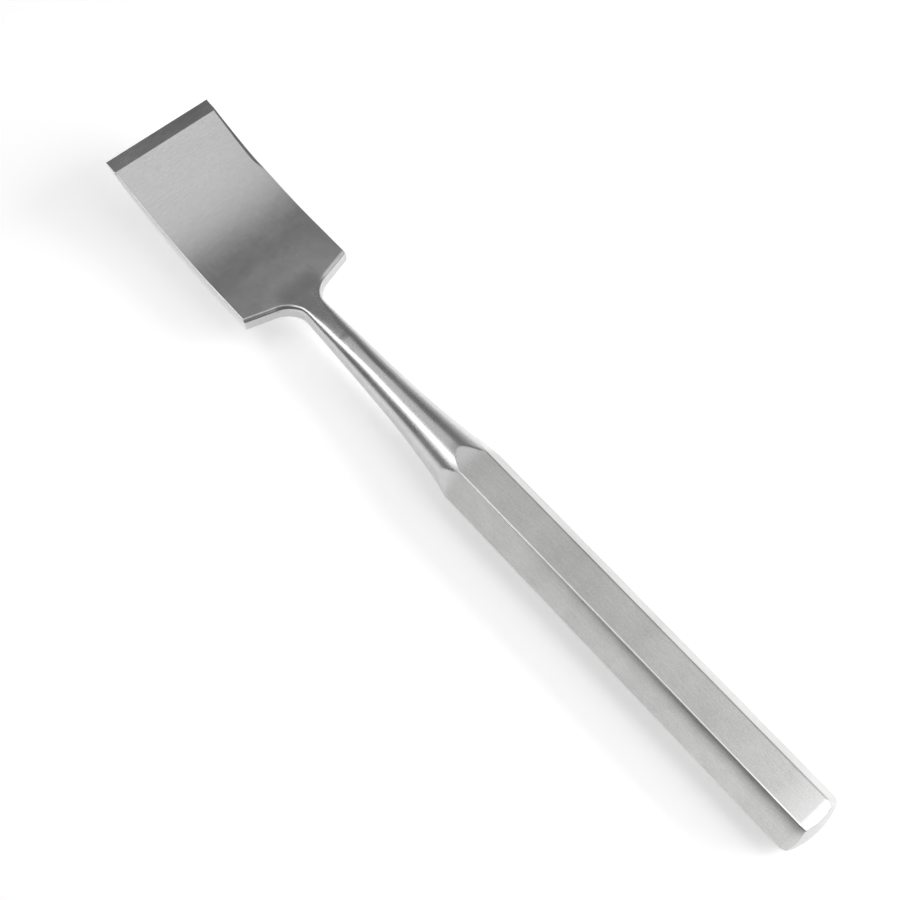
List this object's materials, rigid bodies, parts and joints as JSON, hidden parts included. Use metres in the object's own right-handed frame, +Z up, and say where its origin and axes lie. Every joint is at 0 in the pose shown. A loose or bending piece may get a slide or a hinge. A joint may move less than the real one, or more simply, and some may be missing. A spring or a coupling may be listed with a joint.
{
  "type": "bone_chisel",
  "caption": "Surgical bone chisel in one piece of satin stainless steel: hexagonal handle, turned neck and curved blade with a single bevel.",
  "frame": {"origin": "middle of the flat side of the handle that the chisel rests on, halfway between the top of the butt dome and the start of the flare", "axes": "+X runs along the handle towards the cutting edge, +Y runs across the blade, +Z points up out of the flat that the handle rests on"},
  "size_m": [0.2196, 0.03, 0.0168],
  "materials": {
    "steel": "satin"
  },
  "bodies": {
    "root": {"bone_chisel": "steel"}
  },
  "joints": []
}
